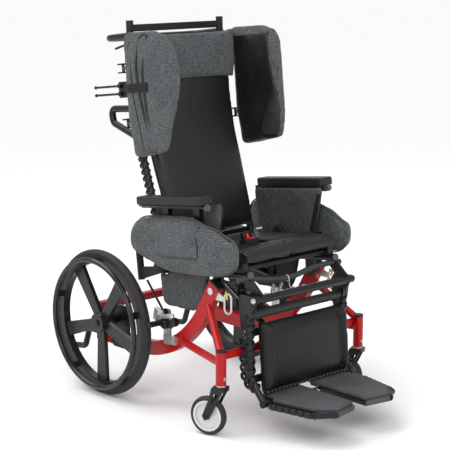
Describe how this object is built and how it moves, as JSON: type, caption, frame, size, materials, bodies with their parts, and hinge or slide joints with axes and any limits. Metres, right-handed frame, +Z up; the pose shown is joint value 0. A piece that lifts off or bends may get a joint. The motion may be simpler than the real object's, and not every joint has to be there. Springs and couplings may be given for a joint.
{
  "type": "tilt in space wheelchair",
  "caption": "Manual wheelchair whose seat, back and legrest tilt together on a curved base, with reclining back, head wings, padded arms and flip-up footplates.",
  "frame": {"origin": "middle of the chair's bounding box, on the floor", "axes": "+X to the occupant's left, -Y to the front, +Z up, standing on its wheels"},
  "size_m": [0.744, 1.2938, 1.2821],
  "materials": {
    "red_paint": "glossy powder coat",
    "black_paint": "satin powder coat",
    "black_plastic": "matt moulded",
    "mag_grey": "satin moulded",
    "tyre_grey": "matt rubber",
    "silver": "brushed",
    "zinc": "zinc plated",
    "castor_grey": "satin moulded",
    "black_vinyl": "soft sheen",
    "grey_fabric": "heathered weave",
    "grey_vinyl": "soft pad",
    "pad_rubber": "soft matt",
    "webbing": "woven strap",
    "grey_plastic": "cable sleeve",
    "red_plastic": "smooth"
  },
  "bodies": {
    "base": {"curved_member_left": "red_paint", "curved_member_right": "red_paint", "castor_post_left": "red_paint", "castor_post_right": "red_paint", "rear_cross_bar": "red_paint", "front_cross_bar": "red_paint", "axle_plates": "black_paint", "rear_axles": "zinc", "wheel_lock_brackets": "silver", "tie_down_rings": "silver", "anti_tip_arms": "black_paint", "frame_caps": "black_plastic", "frame_bolts": "zinc"},
    "seat": {"seat_frame": "black_paint", "seat_cushion": "black_vinyl", "arm_sockets": "black_paint", "side_panel_left": "grey_fabric", "side_panel_right": "grey_fabric", "seat_belt": "webbing", "control_cables": "grey_plastic"},
    "buckle_release": {"buckle_button": "red_plastic"},
    "back": {"back_frame": "black_paint", "back_pad": "black_vinyl", "head_pillow": "grey_fabric", "back_straps": "webbing", "push_handles": "black_paint"},
    "recline_hand_lever": {"recline_lever": "black_plastic"},
    "tilt_hand_lever": {"tilt_lever": "black_plastic"},
    "legrest": {"legrest_frame": "black_paint", "calf_pad": "black_vinyl"},
    "tilt_gas_tube": {"tilt_spring_tube": "black_paint"},
    "tilt_gas_rod": {"tilt_spring_rod": "zinc"},
    "recline_gas_tube": {"recline_spring_tube": "black_paint"},
    "recline_gas_rod": {"recline_spring_rod": "zinc"},
    "wheel_left": {"rear_wheel_left": "mag_grey", "rear_tyre_left": "tyre_grey", "handrim_left": "black_paint"},
    "castor_swivel_left": {"castor_fork_left": "black_plastic"},
    "castor_left": {"castor_wheel_left": "castor_grey", "castor_tyre_left": "tyre_grey"},
    "tip_wheel_left": {"anti_tip_wheel_left": "tyre_grey"},
    "lock_left": {"lock_lever_left": "black_paint"},
    "arm_left": {"arm_frame_left": "black_paint", "arm_pad_left": "pad_rubber", "arm_panel_left": "grey_fabric"},
    "wing_left": {"head_wing_left": "grey_fabric"},
    "foot_left": {"footplate_left": "grey_vinyl"},
    "wheel_right": {"rear_wheel_right": "mag_grey", "rear_tyre_right": "tyre_grey", "handrim_right": "black_paint"},
    "castor_swivel_right": {"castor_fork_right": "black_plastic"},
    "castor_right": {"castor_wheel_right": "castor_grey", "castor_tyre_right": "tyre_grey"},
    "tip_wheel_right": {"anti_tip_wheel_right": "tyre_grey"},
    "lock_right": {"lock_lever_right": "black_paint"},
    "arm_right": {"arm_frame_right": "black_paint", "arm_pad_right": "pad_rubber", "arm_panel_right": "grey_fabric"},
    "wing_right": {"head_wing_right": "grey_fabric"},
    "foot_right": {"footplate_right": "grey_vinyl"}
  },
  "joints": [
    {"name": "wheel_spin_left", "type": "hinge", "parent": "base", "child": "wheel_left", "pos_m": [0.323, 0.27692, 0.254], "axis": [1, 0, 0], "continuous": true},
    {"name": "castor_swivel_left", "type": "hinge", "parent": "base", "child": "castor_swivel_left", "pos_m": [0.32, -0.32707, 0.171], "axis": [0, 0, 1], "continuous": true},
    {"name": "castor_spin_left", "type": "hinge", "parent": "castor_swivel_left", "child": "castor_left", "pos_m": [0.30557, -0.28445, 0.0635], "axis": [0.9472, 0.3206, 0], "continuous": true},
    {"name": "tip_wheel_spin_left", "type": "hinge", "parent": "base", "child": "tip_wheel_left", "pos_m": [0.236, 0.62192, 0.084], "axis": [1, 0, 0], "continuous": true},
    {"name": "wheel_lock_left", "type": "hinge", "parent": "base", "child": "lock_left", "pos_m": [0.262, 0.01492, 0.33], "axis": [1, 0, 0], "range_deg": [0, 17]},
    {"name": "arm_height_left", "type": "slide", "parent": "seat", "child": "arm_left", "axis": [0, 0.1219, 0.9925], "range_m": [0, 0.06]},
    {"name": "wing_swing_left", "type": "hinge", "parent": "back", "child": "wing_left", "pos_m": [0.246, 0.2357, 1.10542], "axis": [0, 0.1219, 0.9925], "range_deg": [0, 18]},
    {"name": "footplate_flip_left", "type": "hinge", "parent": "legrest", "child": "foot_left", "pos_m": [0.12, -0.41492, 0.10421], "axis": [-1, 0, 0], "range_deg": [0, 45]},
    {"name": "wheel_spin_right", "type": "hinge", "parent": "base", "child": "wheel_right", "pos_m": [-0.323, 0.27692, 0.254], "axis": [1, 0, 0], "continuous": true},
    {"name": "castor_swivel_right", "type": "hinge", "parent": "base", "child": "castor_swivel_right", "pos_m": [-0.32, -0.32707, 0.171], "axis": [0, 0, 1], "continuous": true},
    {"name": "castor_spin_right", "type": "hinge", "parent": "castor_swivel_right", "child": "castor_right", "pos_m": [-0.33443, -0.28445, 0.0635], "axis": [0.9472, 0.3206, 0], "continuous": true},
    {"name": "tip_wheel_spin_right", "type": "hinge", "parent": "base", "child": "tip_wheel_right", "pos_m": [-0.236, 0.62192, 0.084], "axis": [1, 0, 0], "continuous": true},
    {"name": "wheel_lock_right", "type": "hinge", "parent": "base", "child": "lock_right", "pos_m": [-0.262, 0.01492, 0.33], "axis": [1, 0, 0], "range_deg": [0, 17]},
    {"name": "arm_height_right", "type": "slide", "parent": "seat", "child": "arm_right", "axis": [0, 0.1219, 0.9925], "range_m": [0, 0.06]},
    {"name": "wing_swing_right", "type": "hinge", "parent": "back", "child": "wing_right", "pos_m": [-0.246, 0.2357, 1.10542], "axis": [0, -0.1219, -0.9925], "range_deg": [0, 18]},
    {"name": "footplate_flip_right", "type": "hinge", "parent": "legrest", "child": "foot_right", "pos_m": [-0.12, -0.41492, 0.10421], "axis": [-1, 0, 0], "range_deg": [0, 45]},
    {"name": "tilt", "type": "hinge", "parent": "base", "child": "seat", "pos_m": [0, -0.20267, 0.43988], "axis": [-1, 0, 0], "range_deg": [0, 25]},
    {"name": "recline", "type": "hinge", "parent": "seat", "child": "back", "pos_m": [0, 0.08318, 0.51964], "axis": [-1, 0, 0], "range_deg": [-5, 45]},
    {"name": "legrest_lift", "type": "hinge", "parent": "seat", "child": "legrest", "pos_m": [0, -0.37941, 0.43639], "axis": [-1, 0, 0], "range_deg": [0, 70]},
    {"name": "buckle_press", "type": "slide", "parent": "seat", "child": "buckle_release", "axis": [0, -0.1219, -0.9925], "range_m": [0, 0.003], "stiffness_N_per_m": 300},
    {"name": "recline_lever_pull", "type": "hinge", "parent": "back", "child": "recline_hand_lever", "pos_m": [-0.212, 0.30254, 1.05892], "axis": [-1, 0, 0], "range_deg": [0, 6], "stiffness_Nm_per_rad": 1.5},
    {"name": "tilt_lever_pull", "type": "hinge", "parent": "back", "child": "tilt_hand_lever", "pos_m": [-0.212, 0.29925, 1.03213], "axis": [-1, 0, 0], "range_deg": [0, 6], "stiffness_Nm_per_rad": 1.5},
    {"name": "tilt_spring_swing", "type": "hinge", "parent": "base", "child": "tilt_gas_tube", "pos_m": [-0.06, -0.28807, 0.281], "axis": [1, 0, 0], "range_deg": [-14, 14]},
    {"name": "tilt_spring_stroke", "type": "slide", "parent": "tilt_gas_tube", "child": "tilt_gas_rod", "axis": [0, 0.8623, 0.5063], "range_m": [-0.06, 0.06]},
    {"name": "recline_spring_swing", "type": "hinge", "parent": "seat", "child": "recline_gas_tube", "pos_m": [0.06, -0.17265, 0.43821], "axis": [1, 0, 0], "range_deg": [-6, 6]},
    {"name": "recline_spring_stroke", "type": "slide", "parent": "recline_gas_tube", "child": "recline_gas_rod", "axis": [0, 0.9912, 0.1324], "range_m": [-0.05, 0.05]}
  ],
  "couplings": [
    {"joint": "tilt_spring_swing", "follows": "tilt", "ratio": -0.4788},
    {"joint": "tilt_spring_stroke", "follows": "tilt", "m_per_rad": -0.10659},
    {"joint": "recline_spring_swing", "follows": "recline", "ratio": 0.0726},
    {"joint": "recline_spring_stroke", "follows": "recline", "m_per_rad": -0.04187}
  ]
}
